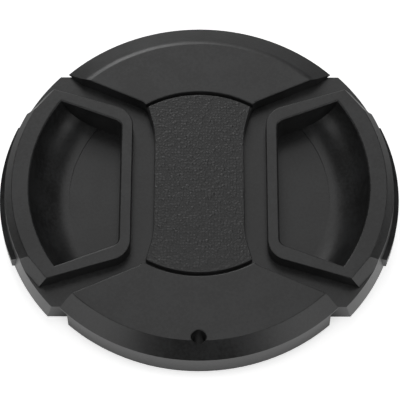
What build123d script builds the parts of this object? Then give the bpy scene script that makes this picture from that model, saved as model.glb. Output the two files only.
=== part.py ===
from build123d import *
from math import cos, radians, sin, sqrt
import os

# Push-fit lens cap with two sliding pinch latches. It lies on its rear, front face up.
# X runs along the latches' travel, Y across it, Z out of the front face. Millimetres.
# Z = 0 is the end of the rear skirt, and the rim's underside seats on the filter ring.

# Front cover
rim_radius = 30.5
crease_radius = 28.0
skirt_radius = 28.2
hollow_radius = 26.7
seat_z = 2.6
rim_top_z = 6.75
front_z = 8.75
skin_z = 7.0
rear_edge_chamfer = 0.3
rim_edge_radius = 0.25
front_edge_radius = 0.2

# The far crescent's bevel is wider than the near one's and eases into the front face
far_crease_radius = 26.6
far_ease_start = (25.9, 8.77)
far_ease_end_radius = 27.2
far_rim_top_z = 6.7

# Window around each latch; the band between the two windows bridges the two crescents
band_half_width = 7.25
band_straight_y = 9.5
band_corner = (8.6, 14.7)
cheek_corner = (19.4, 19.7)
cheek_end = (21.6, 21.4)
window_radii = [15.0, 2.5, 0.4]
window_reach = 36.0
lip_width = 1.2
notch_x = 20.5

# Recess and textured insert in the middle of the front
recess_radius = 16.9
recess_z = 7.75
insert_radius = 16.3
insert_side_gap = 0.05
insert_edge_chamfer = 0.12
web_half_length = 16.4

# Keeper hole on the bevel's crease
keeper_radius = 1.1
keeper_y = -27.35
keeper_boss_radius = 2.4

# Clearances of the sliding latches
slide_gap = 0.12
rest_gap = 0.05
latch_travel = 2.5

# Latch flange that slides under the cover
flange_half_width = 21.15
flange_bottom_z = 4.3
flange_top_z = 6.4
flange_inner_x = 5.5
flange_corner_radius = 0.6

# Raised U of the latch: straight inner side, then sloping sides out to the wall
ridge_x = 10.8
slope_x = 15.0
ridge_side_y = 14.55
ridge_slope = 0.32
ridge_corner_radius = 3.7
ridge_bottom_z = 2.6
latch_edge_radius = 0.15

# Finger pocket: D in plan, with a flat floor that scoops up to the outer edge
pocket_x = 12.7
pocket_side_y = 12.1
pocket_slope = 0.4
pocket_floor_z = 3.6
pocket_corner_radius = 1.4
pocket_edge_radius = 0.3
scoop_start_radius = 21.1
scoop_end_radius = 27.2
scoop_toe_rise = 0.12
scoop_wall = 1.2

# Latch outer wall, with a bevel along its middle and a facet cut into each end
wall_foot_z = 2.9
wall_foot_radius = 31.85
wall_mid_radius = 31.25
wall_top_radius = 31.15
wall_inner_radius = 29.4
step_radius = 28.5
pad_bevel = [(30.0, 8.75), (31.2, 7.5)]
pad_half_width = 14.0
facet_inner = (23.75, 17.4)
facet_outer = (26.4, 14.0)
facet_slope = 60.0
facet_end_y = 13.35
facet_end_radius = 0.8
core_radii = (28.9, 30.0)
core_top_z = 6.7
core_half_width = 14.5

# Grip band low on the outer wall
grip_radius = 32.2
grip_top_z = 4.95
grip_ramp_z = 5.35
grip_root_radius = 31.3
grip_half_width = 12.2

# Rear catch of the latch, with ridges that hook under the filter thread's turns
catch_inner_radius = 26.9
catch_radius = 28.35
catch_tip_radius = 28.95
catch_bottom_z = 0.3
catch_half_width = 16.0
catch_ridge_count = 3
catch_ridge_flat = 0.25
catch_ridge_half_width = 12.5
thread_pitch = 0.75

# Return springs, with the seat and peg that hold each end
spring_y = 18.2
spring_z = 5.15
spring_radius = 1.2
spring_wire_radius = 0.2
spring_wire_flats = 8
spring_turns = 7
spring_end_gap = 0.03
spring_seat_width = 3.2
spring_seat_thickness = 1.2
cover_stop_thickness = 1.2
spring_seat_bottom_z = 3.5
spring_seat_top_z = 6.9
peg_radius = 0.85
peg_length = 1.3
peg_chamfer = 0.25

# Back plate, heat-staked to four posts of the cover
plate_bottom_z = 1.2
plate_top_z = 2.4
plate_radius = 26.5
plate_latch_gap = 0.35
post_places = [(9.0, 22.95), (-9.0, 22.95), (9.0, -22.95), (-9.0, -22.95)]
post_radius = 1.7
stake_radius = 0.9
stake_hole_radius = 0.95
stake_head_radius = 1.6
stake_tip_radius = 1.1
stake_head_z = 0.6
rail_places = [(12.75, 19.05), (-12.75, 19.05), (12.75, -19.05), (-12.75, -19.05)]
rail_size = (7.5, 2.7)
rail_gap = 0.1
guide_size = (11.2, 1.2)
guide_x = 9.6

cut_reach = 40.0
scoop_radius = (
    (scoop_end_radius - scoop_start_radius) ** 2 / (front_z - pocket_floor_z - scoop_toe_rise)
    + (front_z - pocket_floor_z - scoop_toe_rise)
) / 2
scoop_centre_z = pocket_floor_z + scoop_toe_rise + scoop_radius
far_bevel_slope = (front_z - far_rim_top_z) / (rim_radius - far_crease_radius)


def turned(points, half_width):
    """Profile of (radius, height) points turned about Z, kept to a strip along +X."""
    with BuildPart() as ring:
        with BuildSketch(Plane.YZ):
            with BuildLine():
                Polyline(*points, close=True)
            make_face()
        revolve(axis=Axis.Z)
        with Locations((cut_reach / 2, 0, 0)):
            Box(cut_reach, 2 * half_width, 2 * cut_reach, mode=Mode.INTERSECT)
    return ring.part


def splayed_plan(inner_x, side_y, slope, corner_radius):
    """U-shaped plan: straight inner side at inner_x, sides that splay outwards past the rim."""
    near_y = side_y + slope * (inner_x - slope_x)
    far_y = side_y + slope * (cut_reach - slope_x)
    with BuildSketch() as plan:
        with BuildLine():
            FilletPolyline(
                (cut_reach, -far_y), (inner_x, -near_y), (inner_x, near_y), (cut_reach, far_y),
                radius=corner_radius,
            )
            Line((cut_reach, far_y), (cut_reach, -far_y))
        make_face()
    return plan.sketch


# Plan of the two windows, wide enough for each latch's raised part and its travel
with BuildSketch() as windows:
    with BuildLine():
        cheek_slope = (cheek_end[1] - cheek_corner[1]) / (cheek_end[0] - cheek_corner[0])
        reach_y = cheek_end[1] + cheek_slope * (window_reach - cheek_end[0])
        side = FilletPolyline(
            (band_half_width, 0), (band_half_width, band_straight_y), band_corner, cheek_corner,
            (window_reach, reach_y), radius=window_radii,
        )
        Polyline(side @ 1, (window_reach, 0), side @ 0)
    make_face()
    mirror(about=Plane.XZ)
    mirror(about=Plane.YZ)

# Volume that is cut off the far crescent, down to its wider bevel
with BuildPart() as far_bevel_cut:
    with BuildSketch(Plane.YZ):
        with BuildLine():
            ease_end = (
                far_ease_end_radius,
                front_z - far_bevel_slope * (far_ease_end_radius - far_crease_radius),
            )
            outer = (cut_reach, front_z - far_bevel_slope * (cut_reach - far_crease_radius))
            Polyline(ease_end, outer, (cut_reach, cut_reach), (far_ease_start[0], cut_reach), far_ease_start)
            TangentArc(ease_end, far_ease_start, tangent=(-1, far_bevel_slope))
        make_face()
    revolve(axis=Axis.Z)
    beyond = (Align.CENTER, Align.MIN, Align.CENTER)
    Box(2 * cut_reach, cut_reach, 2 * cut_reach, align=beyond, mode=Mode.INTERSECT)

# Front cover: two crescents joined by the bridging band, one moulding
with BuildPart() as front_cover:
    with BuildSketch(Plane.XZ):
        with BuildLine():
            Polyline(
                (0, skin_z), (0, front_z), (crease_radius, front_z), (rim_radius, rim_top_z),
                (rim_radius, seat_z), (skirt_radius, seat_z), (skirt_radius, rear_edge_chamfer),
                (skirt_radius - rear_edge_chamfer, 0), (hollow_radius, 0), (hollow_radius, skin_z),
                close=True,
            )
        make_face()
    revolve(axis=Axis.Z)
    seat_edges = front_cover.edges().filter_by_position(Axis.Z, seat_z - rest_gap, seat_z + rest_gap)
    fillet(seat_edges.sort_by(SortBy.RADIUS)[-1], radius=rim_edge_radius)
    # Lips that hang from the skin along each window and ride just over the flanges
    with BuildSketch(Plane.XY.offset(flange_top_z + slide_gap)):
        offset(windows.sketch, amount=lip_width)
        Circle(skirt_radius, mode=Mode.INTERSECT)
    extrude(amount=skin_z - flange_top_z)
    # The band under the insert is one thicker web
    with BuildSketch(Plane.XY.offset(flange_top_z + slide_gap)):
        Rectangle(2 * (band_corner[0] + lip_width), 2 * web_half_length)
    extrude(amount=skin_z - flange_top_z)
    # Guides beside the flanges, and the stops that the latches rest against
    with BuildSketch(Plane.XY.offset(flange_bottom_z)):
        guide_y = flange_half_width + slide_gap + guide_size[1] / 2
        with Locations(*[(sx * guide_x, sy * guide_y) for sx in (-1, 1) for sy in (-1, 1)]):
            Rectangle(*guide_size)
    extrude(amount=skin_z - flange_bottom_z)
    with BuildSketch(Plane.XY.offset(flange_top_z + slide_gap)):
        stop_x = flange_inner_x + spring_seat_thickness + rest_gap + cover_stop_thickness / 2
        with Locations(*[(sx * stop_x, sy * spring_y) for sx in (-1, 1) for sy in (-1, 1)]):
            Rectangle(cover_stop_thickness, spring_seat_width)
    extrude(amount=skin_z - flange_top_z)
    # Posts for the back plate, each ending in a stake with a formed head
    with BuildSketch(Plane.XY.offset(plate_top_z)):
        with Locations(*post_places):
            Circle(post_radius)
    extrude(amount=skin_z - plate_top_z)
    with BuildSketch(Plane.XY.offset(plate_bottom_z)):
        with Locations(*post_places):
            Circle(stake_radius)
    extrude(amount=plate_top_z - plate_bottom_z)
    with Locations(*[(x, y, stake_head_z) for x, y in post_places]):
        Cone(
            stake_tip_radius, stake_head_radius, plate_bottom_z - stake_head_z,
            align=(Align.CENTER, Align.CENTER, Align.MIN),
        )
    # Boss around the keeper hole
    with BuildSketch(Plane.XY.offset(seat_z)):
        with Locations((0, keeper_y)):
            Circle(keeper_boss_radius)
        Circle(skirt_radius, mode=Mode.INTERSECT)
    extrude(amount=skin_z - seat_z)
    # Slots for the flanges and the latches' outer walls, open to the rear
    with BuildSketch():
        Rectangle(2 * cut_reach, 2 * (flange_half_width + slide_gap))
        with Locations((notch_x + cut_reach / 2, 0), (-notch_x - cut_reach / 2, 0)):
            Rectangle(cut_reach, 2 * cut_reach)
    extrude(amount=flange_top_z + slide_gap, mode=Mode.SUBTRACT)
    # Windows through the front, and the recess for the insert
    with BuildSketch(Plane.XY.offset(flange_top_z)):
        add(windows.sketch)
    extrude(amount=front_z - flange_top_z, mode=Mode.SUBTRACT)
    with BuildSketch(Plane.XY.offset(recess_z)):
        Circle(recess_radius)
    extrude(amount=front_z - recess_z, mode=Mode.SUBTRACT)
    # Keeper hole, with the skirt cut back behind it
    with Locations((0, keeper_y, 0)):
        Cylinder(keeper_radius, 2 * cut_reach, mode=Mode.SUBTRACT)
        Box(2 * keeper_boss_radius, 2 * keeper_boss_radius, 2 * seat_z, mode=Mode.SUBTRACT)
    # Soft edges all round the front face
    fillet(front_cover.edges().filter_by_position(Axis.Z, front_z, front_z), radius=front_edge_radius)
    add(far_bevel_cut.part, mode=Mode.SUBTRACT)
front_cover.part.label = "front_cover"

# Centre plate: textured insert that fills the recess but for a groove along its two arcs
with BuildPart() as centre_plate:
    with BuildSketch(Plane.XY.offset(recess_z)):
        Circle(insert_radius)
        with Locations((insert_side_gap, 0), (-insert_side_gap, 0)):
            add(windows.sketch, mode=Mode.SUBTRACT)
    extrude(amount=front_z - recess_z)
    chamfer(centre_plate.faces().sort_by(Axis.Z)[-1].edges(), length=insert_edge_chamfer)
centre_plate.part.label = "centre_plate"

# Plans of the latch's raised body and of its finger pocket
ridge_plan = splayed_plan(ridge_x, ridge_side_y, ridge_slope, ridge_corner_radius)
pocket_plan = splayed_plan(pocket_x, pocket_side_y, pocket_slope, pocket_corner_radius)

# Finger pocket as the volume that is cut out of the latch
with BuildPart() as finger_pocket:
    with BuildSketch(Plane.YZ):
        with BuildLine():
            toe = (scoop_start_radius, pocket_floor_z + scoop_toe_rise)
            brink = (scoop_end_radius, front_z)
            Polyline((0, front_z), (0, pocket_floor_z), (scoop_start_radius, pocket_floor_z), toe)
            TangentArc(toe, brink, tangent=(1, 0))
            Line(brink, (0, front_z))
        make_face()
    revolve(axis=Axis.Z)
    extrude(pocket_plan, amount=front_z, mode=Mode.INTERSECT)

# Hollow under the scoop, which keeps its wall even
with BuildPart() as scoop_core:
    with BuildSketch(Plane.YZ):
        with BuildLine():
            outer_r = catch_inner_radius - rest_gap
            reach = scoop_radius + scoop_wall
            inner_r = scoop_start_radius + sqrt(reach ** 2 - (scoop_centre_z - ridge_bottom_z) ** 2)
            top_z = scoop_centre_z - sqrt(reach ** 2 - (outer_r - scoop_start_radius) ** 2)
            RadiusArc((inner_r, ridge_bottom_z), (outer_r, top_z), -reach)
            Polyline((outer_r, top_z), (outer_r, ridge_bottom_z), (inner_r, ridge_bottom_z))
        make_face()
    revolve(axis=Axis.Z)
    with Locations((cut_reach / 2, 0, 0)):
        Box(cut_reach, 2 * grip_half_width, 2 * cut_reach, mode=Mode.INTERSECT)

# Turned parts of the latch's outer side
flange_wall = turned([
    (wall_inner_radius, wall_foot_z), (wall_foot_radius, wall_foot_z),
    (wall_mid_radius, flange_top_z), (wall_inner_radius, flange_top_z),
], flange_half_width)
pad_cut = turned([
    *pad_bevel, (cut_reach, pad_bevel[1][1]), (cut_reach, cut_reach), (pad_bevel[0][0], cut_reach),
], pad_half_width)
wall_core = turned([
    (core_radii[0], 0), (core_radii[1], 0), (core_radii[1], core_top_z), (core_radii[0], core_top_z),
], core_half_width)
grip_band = turned([
    (core_radii[1], wall_foot_z), (grip_radius, wall_foot_z), (grip_radius, grip_top_z),
    (grip_root_radius, grip_ramp_z), (core_radii[1], grip_ramp_z),
], grip_half_width)
rear_catch = turned([
    (catch_inner_radius, catch_bottom_z), (catch_radius, catch_bottom_z),
    (catch_radius, wall_foot_z), (catch_inner_radius, wall_foot_z),
], catch_half_width)
catch_ridges = [
    turned([
        (catch_inner_radius, z), (catch_radius, z),
        (catch_tip_radius, z + (thread_pitch - catch_ridge_flat) / 2),
        (catch_tip_radius, z + (thread_pitch + catch_ridge_flat) / 2),
        (catch_radius, z + thread_pitch), (catch_inner_radius, z + thread_pitch),
    ], catch_ridge_half_width)
    for z in [catch_bottom_z + thread_pitch * turn for turn in range(catch_ridge_count)]
]

# Volume cut away at the ends of the outer wall: a sloping facet, rounded where the pad stops it
with BuildPart() as facet_cut:
    along = Vector(facet_outer[0] - facet_inner[0], facet_outer[1] - facet_inner[1], 0)
    outward = Vector(0, 0, 1).cross(along).normalized()
    tilt = radians(facet_slope)
    facet_normal = Vector(0, 0, cos(tilt)) + sin(tilt) * outward
    with Locations(Plane((*facet_outer, front_z), x_dir=along, z_dir=facet_normal)):
        Box(cut_reach, cut_reach, cut_reach, align=(Align.CENTER, Align.CENTER, Align.MIN))
    with Locations((0, facet_end_y, 0)):
        Box(4 * cut_reach, cut_reach, 4 * cut_reach, align=beyond, mode=Mode.INTERSECT)
    pad_end = facet_cut.faces().sort_by(Axis.Y)[0]
    fillet(pad_end.edges().sort_by_distance((*facet_outer, front_z))[0], radius=facet_end_radius)
    mirror(about=Plane.XZ)

# Raised body of the latch, from the hull under the pocket to the front face
with BuildPart() as latch_body:
    with BuildSketch(Plane.YZ):
        with BuildLine():
            Polyline(
                (0, ridge_bottom_z), (step_radius, ridge_bottom_z), (step_radius, wall_foot_z),
                (wall_foot_radius, wall_foot_z), (wall_mid_radius, flange_top_z),
                (wall_top_radius, front_z), (0, front_z), close=True,
            )
        make_face()
    revolve(axis=Axis.Z)
    extrude(ridge_plan, amount=front_z, mode=Mode.INTERSECT)
    add(pad_cut, mode=Mode.SUBTRACT)
    add(facet_cut.part, mode=Mode.SUBTRACT)
    add(finger_pocket.part, mode=Mode.SUBTRACT)

# Right latch: flange, raised body, outer wall and thread catch, one moulding
with BuildPart() as right_latch:
    with BuildSketch(Plane.XY.offset(flange_bottom_z)):
        with Locations((flange_inner_x, 0)):
            Rectangle(cut_reach, 2 * flange_half_width, align=(Align.MIN, Align.CENTER))
        Circle(wall_mid_radius, mode=Mode.INTERSECT)
    extrude(amount=flange_top_z - flange_bottom_z)
    fillet(right_latch.edges().filter_by(Axis.Z).group_by(Axis.X)[0], radius=flange_corner_radius)
    add(flange_wall)
    add(latch_body.part)
    add(grip_band)
    add(wall_core, mode=Mode.SUBTRACT)
    add(scoop_core.part, mode=Mode.SUBTRACT)
    add(rear_catch)
    add(catch_ridges)
    add(finger_pocket.part, mode=Mode.SUBTRACT)
    # Seats and pegs for the springs
    for side_y in (-1, 1):
        with Locations((flange_inner_x, side_y * spring_y, spring_seat_bottom_z)):
            Box(
                spring_seat_thickness, spring_seat_width, spring_seat_top_z - spring_seat_bottom_z,
                align=(Align.MIN, Align.CENTER, Align.MIN),
            )
        with BuildSketch(Plane((flange_inner_x, side_y * spring_y, spring_z), z_dir=(-1, 0, 0))):
            Circle(peg_radius)
        extrude(amount=peg_length)
    chamfer(right_latch.faces().group_by(Axis.X)[0].edges(), length=peg_chamfer)
    # Soft edges around the raised front and the pocket's mouth
    front_face = right_latch.faces().filter_by(Axis.Z).sort_by(Axis.Z)[-1]
    fillet(front_face.inner_wires().edges(), radius=pocket_edge_radius)
    front_face = right_latch.faces().filter_by(Axis.Z).sort_by(Axis.Z)[-1]
    fillet(front_face.outer_wire().edges(), radius=latch_edge_radius)
right_latch.part.label = "right_latch"

# Left latch: the same moulding, handed
with BuildPart() as left_latch:
    mirror(right_latch.part, about=Plane.YZ)
left_latch.part.label = "left_latch"


def return_spring(y):
    """Helical wire along X between the two latches' spring seats."""
    half_length = flange_inner_x - spring_end_gap - spring_wire_radius
    pitch = 2 * half_length / spring_turns
    with BuildPart() as spring:
        with BuildLine():
            start = (-half_length, y, spring_z)
            coil = Helix(pitch, 2 * half_length, spring_radius, center=start, direction=(1, 0, 0))
        with BuildSketch(Plane(coil @ 0, z_dir=coil % 0)):
            RegularPolygon(spring_wire_radius, spring_wire_flats)
        sweep(path=coil, is_frenet=True)
    return spring.part


upper_spring = return_spring(spring_y)
upper_spring.label = "upper_spring"
lower_spring = return_spring(-spring_y)
lower_spring.label = "lower_spring"

# Back plate: holds the flanges up against the cover and clears the catches' travel
with BuildPart() as back_plate:
    with BuildSketch(Plane.XY.offset(plate_bottom_z)):
        Circle(plate_radius)
        for side_x in (-1, 1):
            with Locations((side_x * latch_travel, 0)):
                Circle(catch_inner_radius - plate_latch_gap, mode=Mode.INTERSECT)
        with Locations(*post_places):
            Circle(stake_hole_radius, mode=Mode.SUBTRACT)
        with Locations((0, keeper_y)):
            Rectangle(2 * keeper_boss_radius, 2 * keeper_boss_radius, mode=Mode.SUBTRACT)
    extrude(amount=plate_top_z - plate_bottom_z)
    with BuildSketch(Plane.XY.offset(plate_top_z)):
        with Locations(*rail_places):
            Rectangle(*rail_size)
    extrude(amount=flange_bottom_z - rail_gap - plate_top_z)
back_plate.part.label = "back_plate"

os.makedirs("parts", exist_ok=True)
for piece in (
    front_cover.part, centre_plate.part, right_latch.part, left_latch.part,
    upper_spring, lower_spring, back_plate.part,
):
    export_step(piece, f"parts/{piece.label}.step")
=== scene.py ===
import math

import bpy
import numpy as np
from mathutils import Matrix, Vector


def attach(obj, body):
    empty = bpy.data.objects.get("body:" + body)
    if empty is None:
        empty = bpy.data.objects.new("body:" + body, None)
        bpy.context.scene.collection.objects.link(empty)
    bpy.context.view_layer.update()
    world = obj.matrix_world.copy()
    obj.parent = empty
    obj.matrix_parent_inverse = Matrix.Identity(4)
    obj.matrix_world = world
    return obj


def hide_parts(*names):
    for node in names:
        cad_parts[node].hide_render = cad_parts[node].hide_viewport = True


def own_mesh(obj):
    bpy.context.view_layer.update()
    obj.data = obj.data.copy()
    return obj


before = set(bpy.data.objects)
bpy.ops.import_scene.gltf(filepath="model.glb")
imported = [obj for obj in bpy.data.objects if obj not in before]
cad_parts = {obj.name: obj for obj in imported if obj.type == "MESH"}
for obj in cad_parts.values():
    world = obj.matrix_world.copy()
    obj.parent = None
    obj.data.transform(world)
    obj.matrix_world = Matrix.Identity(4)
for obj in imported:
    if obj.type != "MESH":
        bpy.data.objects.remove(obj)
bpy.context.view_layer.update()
scene = bpy.context.scene
mm = 0.001
print("frame loaded with", len(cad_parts), "moulded and wire parts")


# Camera: looks down on the cap from the side of the keeper hole
cameraSetup = {
    "elevation": 60.975, "azimuth": 0.308, "roll": -0.207,  # degrees
    "target": (0.122, -0.017, 2.6), "distance": 325.04,  # mm
    "lens": 180.0, "sensor": 36.0,
    "clip": (0.01, 10.0),  # metres
}


def placeCamera(setup):
    # the back vector comes from azimuth and elevation, and the roll turns side and up about it
    elevation, azimuth = math.radians(setup["elevation"]), math.radians(setup["azimuth"])
    roll = math.radians(setup["roll"])
    back = Vector((
        math.sin(azimuth) * math.cos(elevation), -math.cos(azimuth) * math.cos(elevation),
        math.sin(elevation),
    ))
    side = Vector((math.cos(azimuth), math.sin(azimuth), 0))
    up = back.cross(side)
    rolledSide = side * math.cos(roll) + up * math.sin(roll)
    rolledUp = up * math.cos(roll) - side * math.sin(roll)
    lens = bpy.data.cameras.new("camera")
    lens.lens, lens.sensor_width = setup["lens"], setup["sensor"]
    lens.clip_start, lens.clip_end = setup["clip"]
    camera = bpy.data.objects.new("camera", lens)
    place = Matrix((rolledSide, rolledUp, back)).transposed().to_4x4()
    place.translation = (Vector(setup["target"]) + back * setup["distance"]) * mm
    camera.matrix_world = place
    scene.collection.objects.link(camera)
    scene.camera = camera


placeCamera(cameraSetup)
scene.view_settings.view_transform = "Standard"
print("camera placed")


# A value in a node tree: Python arithmetic on it adds Math nodes
class Value:
    def __init__(self, recipe, socket):
        self.recipe = recipe
        self.socket = socket

    def combine(self, operation, other):
        return self.recipe.node("ShaderNodeMath", {"operation": operation}, {0: self, 1: other})

    def __add__(self, other):
        return self.combine("ADD", other)

    __radd__ = __add__

    def __sub__(self, other):
        return self.combine("SUBTRACT", other)

    def __rsub__(self, other):
        return self.combine("MULTIPLY", -1.0).combine("ADD", other)

    def __mul__(self, other):
        return self.combine("MULTIPLY", other)

    __rmul__ = __mul__

    def steps(self, start, end):
        # eases from 0 at start to 1 at end
        return self.recipe.node(
            "ShaderNodeMapRange", {"interpolation_type": "SMOOTHSTEP"},
            {"Value": self, "From Min": start, "From Max": end},
        )


# A node tree: every node comes from one method, settings first and sockets after
class Recipe:
    def __init__(self, tree):
        self.tree = tree
        tree.nodes.clear()

    def node(self, kind, settings=None, sockets=None, output=0):
        made = self.tree.nodes.new(kind)
        for name, setting in (settings or {}).items():
            setattr(made, name, setting)
        for name, given in (sockets or {}).items():
            if isinstance(given, Value):
                self.tree.links.new(given.socket, made.inputs[name])
            else:
                made.inputs[name].default_value = given
        return Value(self, made.outputs[output]) if made.outputs else None

    def place(self):
        # the point on the piece, in metres from the object's origin
        return self.node("ShaderNodeTexCoord", output="Object")

    def axis(self, point, letter):
        return self.node("ShaderNodeSeparateXYZ", sockets={"Vector": point}, output=letter)

    def noise(self, point, size, detail):
        # noise whose features are about as large as size, in metres
        return self.node(
            "ShaderNodeTexNoise", sockets={"Vector": point, "Scale": 1 / size, "Detail": detail}
        )

    def blend(self, factor, first, second):
        # a colour that goes from first at factor 0 to second at factor 1
        return self.node(
            "ShaderNodeMix", {"data_type": "RGBA"}, {0: factor, 6: first, 7: second}, output=2
        )

    def mixShaders(self, factor, first, second):
        return self.node("ShaderNodeMixShader", sockets={0: factor, 1: first, 2: second})

    def rayKind(self, output):
        # 1 for rays of that kind and 0 for all others
        return self.node("ShaderNodeLightPath", output=output)

    def finish(self, shader, kind="ShaderNodeOutputMaterial"):
        self.node(kind, sockets={"Surface": shader})


def grey(level, warmth=0.0):
    # linear grey; warmth adds that share of red and takes it off the blue
    return (level * (1 + warmth), level, level * (1 - warmth), 1.0)


def newMaterial(name):
    material = bpy.data.materials.new(name)
    material.use_nodes = True
    return material, Recipe(material.node_tree)


# What all the moulded plastics share
moulding = {
    "cloudDetail": 4.0, "fleckDetail": 2.0, "sparkDetail": 3.0, "coarseDetail": 1.0,
    "mottleEdges": (0.38, 0.62),  # where the mottling goes from dark to pale
    "paleWarmth": -0.02,
    "mottleRoughness": 0.2, "sparkRoughness": 0.12,  # how far each one moves the roughness
    "coarseSize": 3.1, "coarseHeight": 0.8,  # the coarser grain, against the spark grain
    # painted shade: the near black that the leather grain's creases are darkened towards
    "paintedCreaseShade": 0.003,
    "ior": 1.5,
}

# Black satin plastic of the cover and the latches
shellFinish = {
    "dark": 0.012, "pale": 0.023,  # the two ends of its faint mottling
    "roughness": 0.34,
    "sparkSize": 0.2 * mm,  # grain that the mould's spark-eroded steel leaves
    "sparkHeight": 0.007 * mm,
    "cloudSize": 5.0 * mm, "fleckSize": 0.45 * mm,
    "rub": 0.015,  # how much smoother the handled edges are
    "rubHeights": (8.3 * mm, 8.75 * mm),  # it sets in between these heights
}

# Rear plate, moulded without polish
rearFinish = {
    "dark": 0.015, "pale": 0.02, "roughness": 0.5,
    "sparkSize": 0.3 * mm, "sparkHeight": 0.006 * mm, "cloudSize": 8.0 * mm, "fleckSize": 0.9 * mm,
}


def satinPlastic(name, finish, handled=False):
    # a soft cloud and fine flecks, half and half, move the colour and the roughness, and the bump
    # is the spark grain plus a share of a coarser one
    material, recipe = newMaterial(name)
    point = recipe.place()
    cloud = recipe.noise(point, finish["cloudSize"], moulding["cloudDetail"])
    fleck = recipe.noise(point, finish["fleckSize"], moulding["fleckDetail"])
    spark = recipe.noise(point, finish["sparkSize"], moulding["sparkDetail"])
    coarse = recipe.noise(
        point, finish["sparkSize"] * moulding["coarseSize"], moulding["coarseDetail"]
    )
    mottle = (cloud + fleck) * 0.5
    colour = recipe.blend(
        mottle.steps(*moulding["mottleEdges"]),
        grey(finish["dark"]), grey(finish["pale"], moulding["paleWarmth"]),
    )
    roughness = (
        finish["roughness"] + (mottle - 0.5) * moulding["mottleRoughness"]
        + (spark - 0.5) * moulding["sparkRoughness"]
    )
    if "creases" in finish:
        # painted shade: the leather grain's creases are darkened towards a near black, standing in
        # for the shade in them, and they are also more matt than its pebbles
        crease = 1 - recipe.node("ShaderNodeAttribute", {"attribute_name": "grain"}, output="Fac")
        colour = recipe.blend(crease * finish["creases"], colour, grey(moulding["paintedCreaseShade"]))
        roughness = roughness + crease * finish["creaseMatt"]
    if handled:
        # fingertips polish the raised edges that they pull on
        height = recipe.axis(point, "Z")
        roughness = roughness - height.steps(*finish["rubHeights"]) * finish["rub"]
    bump = recipe.node("ShaderNodeBump", sockets={
        "Strength": 1.0, "Distance": finish["sparkHeight"],
        "Height": spark + coarse * moulding["coarseHeight"],
    })
    recipe.finish(recipe.node("ShaderNodeBsdfPrincipled", sockets={
        "Base Color": colour, "Roughness": roughness, "Normal": bump, "IOR": moulding["ior"],
    }))
    return material


# Drawn spring wire
wireFinish = {
    "dark": 0.42, "pale": 0.6, "darkWarmth": 0.02, "paleWarmth": 0.01,
    "roughness": 0.32, "streakRoughness": 0.12,
    "streakSize": 0.5 * mm, "streakStretch": (6.0, 1.0, 1.0), "streakDetail": 3.0,
}


def drawnSteel(name, finish):
    # bright metal: one noise, narrow along the coil's axis, moves its colour and roughness
    material, recipe = newMaterial(name)
    stretched = recipe.node(
        "ShaderNodeMapping", sockets={"Vector": recipe.place(), "Scale": finish["streakStretch"]}
    )
    streak = recipe.noise(stretched, finish["streakSize"], finish["streakDetail"])
    colour = recipe.blend(
        streak, grey(finish["dark"], finish["darkWarmth"]),
        grey(finish["pale"], finish["paleWarmth"]),
    )
    recipe.finish(recipe.node("ShaderNodeBsdfPrincipled", sockets={
        "Base Color": colour, "Metallic": 1.0,
        "Roughness": finish["roughness"] + streak * finish["streakRoughness"],
    }))
    return material


satinShell = satinPlastic("satinShell", shellFinish)
latchPlastic = satinPlastic("latchPlastic", shellFinish, handled=True)
rearPlastic = satinPlastic("rearPlastic", rearFinish)
springSteel = drawnSteel("springSteel", wireFinish)


def dress(node, material):
    # every slot of a CAD node gets the material, and its mesh stays as it is
    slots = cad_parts[node].material_slots
    if not slots:
        raise RuntimeError(node + " has no material slot")
    for slot in slots:
        slot.material = material


for node, material in (
    ("front_cover", satinShell), ("right_latch", latchPlastic), ("left_latch", latchPlastic),
    ("back_plate", rearPlastic),
):
    dress(node, material)
print("moulded parts finished")


def newPiece(name, points, faces, material, sharpAngle=35.0):
    # points in mm become one mesh, and edges sharper than sharpAngle, in degrees, stay crisp
    mesh = bpy.data.meshes.new(name)
    mesh.from_pydata((points * mm).tolist(), [], faces)
    mesh.validate()
    mesh.shade_smooth()
    mesh.set_sharp_from_angle(angle=math.radians(sharpAngle))
    mesh.materials.append(material)
    piece = bpy.data.objects.new(name, mesh)
    scene.collection.objects.link(piece)
    return piece


def gridFaces(rows, columns, wrap=False):
    # quads between neighbouring rows and columns of a grid of points
    index = np.arange(rows * columns).reshape(rows, columns)
    if wrap:
        index = np.hstack([index, index[:, :1]])
    return np.stack(
        [index[:-1, :-1], index[:-1, 1:], index[1:, 1:], index[1:, :-1]], axis=-1
    ).reshape(-1, 4)


# Grained insert in the middle of the front, in mm
insert = {
    "radius": 16.3,  # its two end arcs
    "halfWidth": 7.2, "straightY": 9.5, "flare": 1.35 / 5.2, "flareRadius": 15.0,
    "bottom": 7.75, "top": 8.75,
    "edgeRound": 0.16, "edgeShares": (0, 0.25, 0.6, 1.0),  # the rows of points in the round
    "step": 0.1,  # spacing of the mesh
    "firstReach": 0.9, "rounds": 12,  # how the outline's two curves are settled
    "cell": 0.5,  # size of one pebble of the grain
    "spareCells": 4,  # round the outline
    "seedRange": (0.08, 0.92),  # where a seed may lie in its cell
    "pebbleHeights": (0.3, 1.0),
    "creaseWidth": 0.5,  # in cells
    "depth": 0.06,
    "seed": 11,
}
insertFinish = {
    "dark": 0.017, "pale": 0.027, "roughness": 0.34,
    "sparkSize": 0.12 * mm, "sparkHeight": 0.004 * mm, "cloudSize": 1.2 * mm, "fleckSize": 0.5 * mm,
    # painted shade: how far the grain's creases are darkened, and how much more matt they are
    "creases": 0.8, "creaseMatt": 0.12,
}


def insertHalfWidth(y, spec):
    # straight side, then an arc of flareRadius that is tangent to the outward slope
    bend = math.atan(spec["flare"])
    tangent = spec["flareRadius"] * math.tan(bend / 2)
    arcStart, arcEnd = spec["straightY"] - tangent, spec["straightY"] + tangent * math.cos(bend)
    along = np.clip(np.abs(y) - arcStart, 0, arcEnd - arcStart)
    arc = spec["flareRadius"] - np.sqrt(spec["flareRadius"] ** 2 - along ** 2)
    slope = np.clip(np.abs(y) - arcEnd, 0, None) * spec["flare"]
    return spec["halfWidth"] + arc + slope


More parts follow.
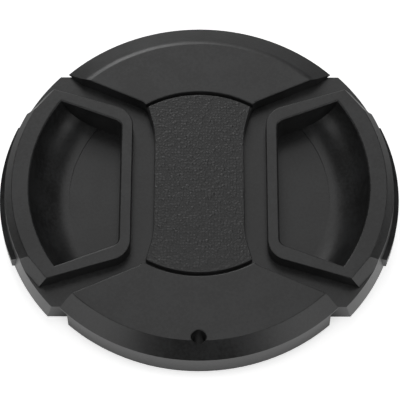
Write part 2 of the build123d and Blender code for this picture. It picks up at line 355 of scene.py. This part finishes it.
def edgedSteps(halfLength, spec):
    # even steps from -1 to 1 with a few closer ones in each edge round
    edge = np.array(spec["edgeShares"]) * spec["edgeRound"] / halfLength
    count = int(2 * halfLength / spec["step"])
    inner = np.linspace(-1 + edge[-1], 1 - edge[-1], count)
    return np.concatenate([-1 + edge[:-1], inner, 1 - edge[-2::-1]])


def pebbleGrain(x, y, spec):
    # distance to the second nearest scattered seed less that to the nearest: a dome on each seed,
    # with a crease where two domes meet
    cell = spec["cell"]
    rng = np.random.default_rng(spec["seed"])
    column, row = np.floor(x / cell).astype(int), np.floor(y / cell).astype(int)
    size = 2 * (int(spec["radius"] / cell) + spec["spareCells"])
    offset = rng.uniform(*spec["seedRange"], (size, size, 2))
    height = rng.uniform(*spec["pebbleHeights"], (size, size))
    near = np.full(x.shape, np.inf)
    second = np.full(x.shape, np.inf)
    domeHeight = np.zeros(x.shape)
    for stepX in (-1, 0, 1):
        for stepY in (-1, 0, 1):
            i, j = column + stepX + size // 2, row + stepY + size // 2
            seedX = (column + stepX + offset[i, j, 0]) * cell
            seedY = (row + stepY + offset[i, j, 1]) * cell
            gap = np.hypot(x - seedX, y - seedY) / cell
            closer = gap < near
            second = np.where(closer, near, np.minimum(second, gap))
            domeHeight = np.where(closer, height[i, j], domeHeight)
            near = np.where(closer, gap, near)
    share = np.clip((second - near) / spec["creaseWidth"], 0, 1)
    dome = 1 - (1 - share) ** 2
    return dome * domeHeight


def makeInsert(spec, material):
    # x is a share of the side's half width at y, and y a share of the end arc's height at x;
    # repeating the two settles both, so the grid's border lies on the sides and arcs
    across = edgedSteps(spec["halfWidth"], spec)
    along = edgedSteps(math.sqrt(spec["radius"] ** 2 - spec["halfWidth"] ** 2), spec)
    t, u = np.meshgrid(along, across, indexing="ij")
    y = t * spec["radius"] * spec["firstReach"]
    for _ in range(spec["rounds"]):
        x = u * insertHalfWidth(y, spec)
        reach = np.sqrt(spec["radius"] ** 2 - x ** 2)
        y = t * reach
    inset = np.minimum((1 - np.abs(u)) * insertHalfWidth(y, spec), (1 - np.abs(t)) * reach)
    bend = np.clip(1 - inset / spec["edgeRound"], 0, 1)
    drop = spec["edgeRound"] * (1 - np.sqrt(1 - bend ** 2))
    grain = 1 - (1 - pebbleGrain(x, y, spec)) * (1 - bend)
    hollow = spec["depth"] * (1 - grain)
    top = np.stack([x, y, spec["top"] - drop - hollow], axis=-1)
    rows, columns = x.shape
    topIndex = np.arange(rows * columns).reshape(rows, columns)
    rim = np.concatenate([
        topIndex[0, :], topIndex[1:, -1], topIndex[-1, -2::-1], topIndex[-2:0:-1, 0],
    ])
    flat = top.reshape(-1, 3)
    foot = flat[rim].copy()
    foot[:, 2] = spec["bottom"]
    footIndex = np.arange(len(rim)) + len(flat)
    nextRim, nextFoot = np.roll(rim, -1), np.roll(footIndex, -1)
    side = np.stack([footIndex, nextFoot, nextRim, rim], axis=-1)
    # the underside: one strip of quads from side to side, and a rounded end at each arc
    low = footIndex[:columns]
    right = footIndex[columns - 1:columns + rows - 1]
    high = footIndex[columns + rows - 2:2 * columns + rows - 2]
    left = np.concatenate([footIndex[:1], footIndex[:2 * columns + rows - 4:-1]])
    strip = np.stack([left[:-1], left[1:], right[1:], right[:-1]], axis=-1)
    faces = np.concatenate([gridFaces(rows, columns), side, strip]).tolist()
    faces += [low[::-1].tolist(), high[::-1].tolist()]
    piece = newPiece("grainedInsert", np.concatenate([flat, foot]), faces, material)
    heights = piece.data.attributes.new("grain", "FLOAT", "POINT")
    heights.data.foreach_set("value", np.concatenate([grain.ravel(), np.ones(len(foot))]))
    return piece


grainedInsert = satinPlastic("grainedInsert", insertFinish)
plate = makeInsert(insert, grainedInsert)
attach(plate, "cover")
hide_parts("centre_plate")
print("insert made,", len(plate.data.polygons), "faces")


# Return springs, in mm: each in two halves, built from the middle outwards
spring = {
    "y": 18.2, "z": 5.15,  # the axis
    "coilRadius": 1.2, "wireRadius": 0.2,
    "halfLength": 5.44,
    "openTurns": 3.25, "endTurns": 1.25, "endPitch": 0.42,
    "easeTurns": 0.5,  # over these the pitch closes up
    "stepsPerTurn": 36, "wireSides": 12, "sharpAngle": 60.0,
    "travel": 2.5,
}


def halfSpring(name, sideX, y, spec, material):
    # a helix from the middle outwards; its pitch closes up over the end turns, and a circle of
    # wireRadius is carried along it
    turns = spec["openTurns"] + spec["endTurns"]
    turn = np.linspace(0, turns, int(turns * spec["stepsPerTurn"]) + 1)
    length = spec["halfLength"] - spec["wireRadius"]
    easeEnd = spec["openTurns"] + spec["easeTurns"]
    openPitch = length - spec["endPitch"] * spec["endTurns"]
    openPitch /= spec["openTurns"] + spec["easeTurns"] / 2
    pitch = np.interp(turn, [spec["openTurns"], easeEnd], [openPitch, spec["endPitch"]])
    run = np.concatenate([[0], np.cumsum((pitch[1:] + pitch[:-1]) / 2 * np.diff(turn))])
    run *= length / run[-1]
    angle = 2 * math.pi * turn
    outward = np.stack([np.zeros_like(angle), sideX * np.sin(angle), np.cos(angle)], axis=-1)
    centre = np.stack([sideX * run, np.full_like(run, y), np.full_like(run, spec["z"])], axis=-1)
    centre += spec["coilRadius"] * outward
    ahead = np.gradient(centre, axis=0)
    ahead /= np.linalg.norm(ahead, axis=1, keepdims=True)
    outward -= (outward * ahead).sum(axis=1, keepdims=True) * ahead
    outward /= np.linalg.norm(outward, axis=1, keepdims=True)
    beside = np.cross(ahead, outward)
    around = np.linspace(0, 2 * math.pi, spec["wireSides"], endpoint=False)
    ring = (
        np.cos(around)[None, :, None] * outward[:, None, :]
        + np.sin(around)[None, :, None] * beside[:, None, :]
    ) * spec["wireRadius"]
    points = (centre[:, None, :] + ring).reshape(-1, 3)
    rows, columns = len(turn), spec["wireSides"]
    quads = gridFaces(rows, columns, wrap=True)
    caps = [list(range(columns))[::-1], list(range((rows - 1) * columns, rows * columns))]
    return newPiece(name, points, quads.tolist() + caps, material, spec["sharpAngle"])


for row, y in (("upper", spring["y"]), ("lower", -spring["y"])):
    for hand, sideX, joint in (("Right", 1, "right_pinch"), ("Left", -1, "left_pinch")):
        wire = halfSpring(row + "Spring" + hand, sideX, y, spring, springSteel)
        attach(wire, "cover")
        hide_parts(row + "_spring")
        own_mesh(wire)
print("springs made")


# Table, lamps and surroundings
studio = {
    "tableRadius": 0.5, "innerRadius": 0.02,  # metres
    "rings": 14, "sectors": 96,
    "tableWhite": 0.86,
    "cameraGlow": 0.72,  # what the camera sees added on the table near the cap
    "cameraShadowFade": (0.024, 0.031),  # painted contact shadow: it sets in between these distances from the cap's axis, so the table is darker round the cap
    "mirrorGlow": 0.73,  # what mirror rays see added there
    # painted shadow under the cap in reflections: mirror rays see the glow set in between these
    # distances
    "mirrorShadowFade": (0.0310, 0.0335),
    "shadeBehindShare": 0.35,  # painted shade: how much of that is left on the half behind the cap
    "shadeBehindFade": (-0.01, 0.02),  # between these places on Y
    "outerFade": (0.06, 0.13),  # past these distances the table is plain white for the camera
    "outerGlow": 0.15,  # and this bright for all other rays
    "room": 0.056,  # how bright the surroundings are for them
    "lamps": {
        # azimuth from the camera's side, elevation, distance, width, height, radiance
        "backPanel": (180.0, 48.0, 1.0, 0.52, 1.15, 1.0),
        "backSoftbox": (194.0, 31.0, 1.0, 0.3, 0.4, 4.4),
        "horizonStrip": (180.0, 8.0, 1.0, 0.9, 0.22, 0.5),
        "zenithPanel": (0.0, 86.0, 1.0, 0.4, 0.5, 1.5),
        "rightPanel": (61.0, 34.0, 1.0, 0.9, 0.5, 1.85),
        "leftPanel": (-61.0, 34.0, 1.0, 0.9, 0.5, 1.85),
    },
}


def tableTop(spec):
    # matt white that keeps the cap's shadow, plus a glow for camera and mirror rays that fades out
    # under and round the cap, a painted shadow, and that mirror rays see dimmer on the half behind
    # the cap, painted shade; further out, plain white for the camera and a dim glow for all other
    # rays
    material, recipe = newMaterial("tableTop")
    point = recipe.place()
    distance = recipe.node("ShaderNodeVectorMath", {"operation": "LENGTH"}, {0: point}, output=1)
    cameraRay = recipe.rayKind("Is Camera Ray")
    mirrorRay = recipe.rayKind("Is Glossy Ray") + recipe.rayKind("Is Transmission Ray")
    # painted shade: mirror rays see less glow on the half of the table behind the cap
    behind = recipe.axis(point, "Y").steps(*spec["shadeBehindFade"]) * (spec["shadeBehindShare"] - 1) + 1
    # painted shadow: the glow fades out under and round the cap, for the camera and for mirror rays
    cameraShare = cameraRay * distance.steps(*spec["cameraShadowFade"]) * spec["cameraGlow"]
    mirrorShare = mirrorRay * distance.steps(*spec["mirrorShadowFade"]) * behind * spec["mirrorGlow"]
    matt = recipe.node("ShaderNodeBsdfDiffuse", sockets={"Color": grey(spec["tableWhite"])})
    black = recipe.node("ShaderNodeEmission", sockets={"Strength": 0.0})
    dim = recipe.node("ShaderNodeEmission", sockets={"Strength": spec["outerGlow"]})
    white = recipe.node("ShaderNodeEmission", sockets={"Strength": 1.0})
    glow = recipe.mixShaders(cameraShare + mirrorShare, black, white)
    inner = recipe.node("ShaderNodeAddShader", sockets={0: matt, 1: glow})
    outer = recipe.mixShaders(cameraRay, dim, white)
    recipe.finish(recipe.mixShaders(distance.steps(*spec["outerFade"]), inner, outer))
    return material


def makeTable(spec):
    # a flat disc: rings of points whose radii grow by one factor, and one face inside the first
    rings, sectors = spec["rings"], spec["sectors"]
    radius = np.geomspace(spec["innerRadius"], spec["tableRadius"], rings)
    angle = np.linspace(0, 2 * math.pi, sectors, endpoint=False)
    points = np.stack([
        np.outer(radius, np.cos(angle)), np.outer(radius, np.sin(angle)),
        np.zeros((rings, sectors)),
    ], axis=-1).reshape(-1, 3)
    faces = gridFaces(rings, sectors, wrap=True)[:, ::-1].tolist() + [list(range(sectors))]
    newPiece("tableTop", points / mm, faces, tableTop(spec))


def makeLamp(name, azimuth, elevation, distance, width, height, radiance):
    # a flat panel that faces the cap; its power is its radiance times pi times its area
    lamp = bpy.data.lights.new(name, "AREA")
    lamp.shape, lamp.size, lamp.size_y = "RECTANGLE", width, height
    lamp.energy = radiance * math.pi * width * height
    holder = bpy.data.objects.new(name, lamp)
    turn, rise = math.radians(azimuth), math.radians(elevation)
    away = Vector((
        math.sin(turn) * math.cos(rise), -math.cos(turn) * math.cos(rise), math.sin(rise),
    ))
    place = away.to_track_quat("Z", "Y").to_matrix().to_4x4()
    place.translation = away * distance
    holder.matrix_world = place
    holder.visible_camera = False
    scene.collection.objects.link(holder)


def makeRoom(spec):
    # white for the camera, a dim even grey for every other ray
    world = bpy.data.worlds.new("room")
    world.use_nodes = True
    scene.world = world
    recipe = Recipe(world.node_tree)
    dim = recipe.node("ShaderNodeBackground", sockets={"Color": grey(spec["room"])})
    white = recipe.node("ShaderNodeBackground", sockets={"Color": grey(1.0)})
    room = recipe.mixShaders(recipe.rayKind("Is Camera Ray"), dim, white)
    recipe.finish(room, "ShaderNodeOutputWorld")


makeTable(studio)
for name, numbers in studio["lamps"].items():
    makeLamp(name, *numbers)
makeRoom(studio)
print("studio ready")

bpy.context.view_layer.update()
